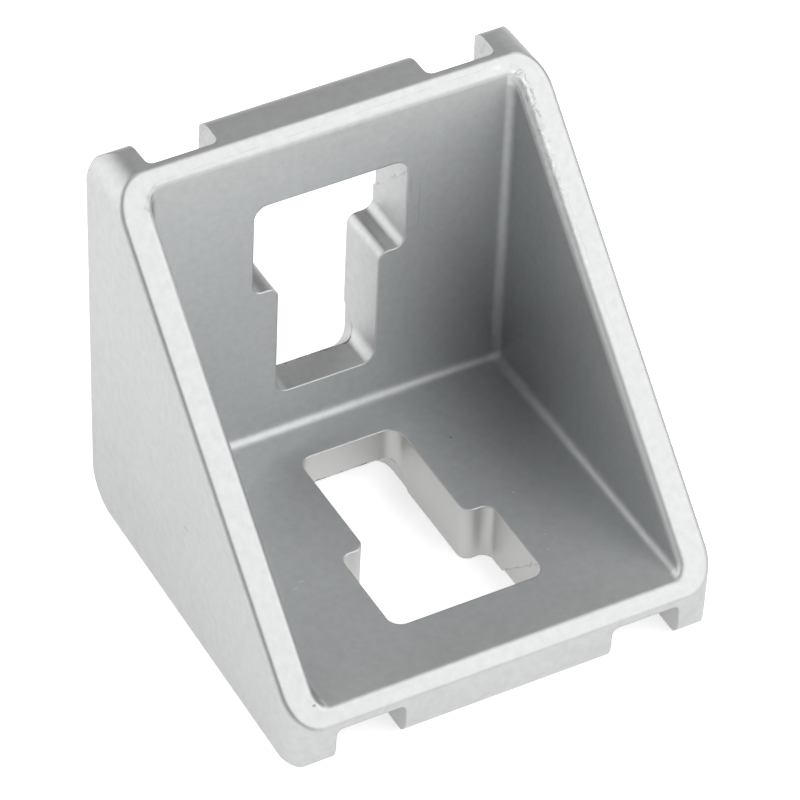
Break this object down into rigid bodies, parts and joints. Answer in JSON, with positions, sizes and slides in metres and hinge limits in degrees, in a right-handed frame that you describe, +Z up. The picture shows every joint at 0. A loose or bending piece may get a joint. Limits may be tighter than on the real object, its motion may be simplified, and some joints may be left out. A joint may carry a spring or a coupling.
{
  "type": "corner bracket",
  "caption": "Die-cast right-angle corner bracket with triangular side walls, an open pocket and a keyed screw slot in each leg, for joining slotted profiles.",
  "frame": {"origin": "centre of the bounding box's base, on the floor leg's contact plane", "axes": "+X across the width, +Y from the open side towards the back leg's contact plane, +Z up along the back leg"},
  "size_m": [0.038, 0.036, 0.036],
  "materials": {
    "cast_aluminium": "satin"
  },
  "bodies": {
    "root": {"corner_bracket": "cast_aluminium"}
  },
  "joints": []
}
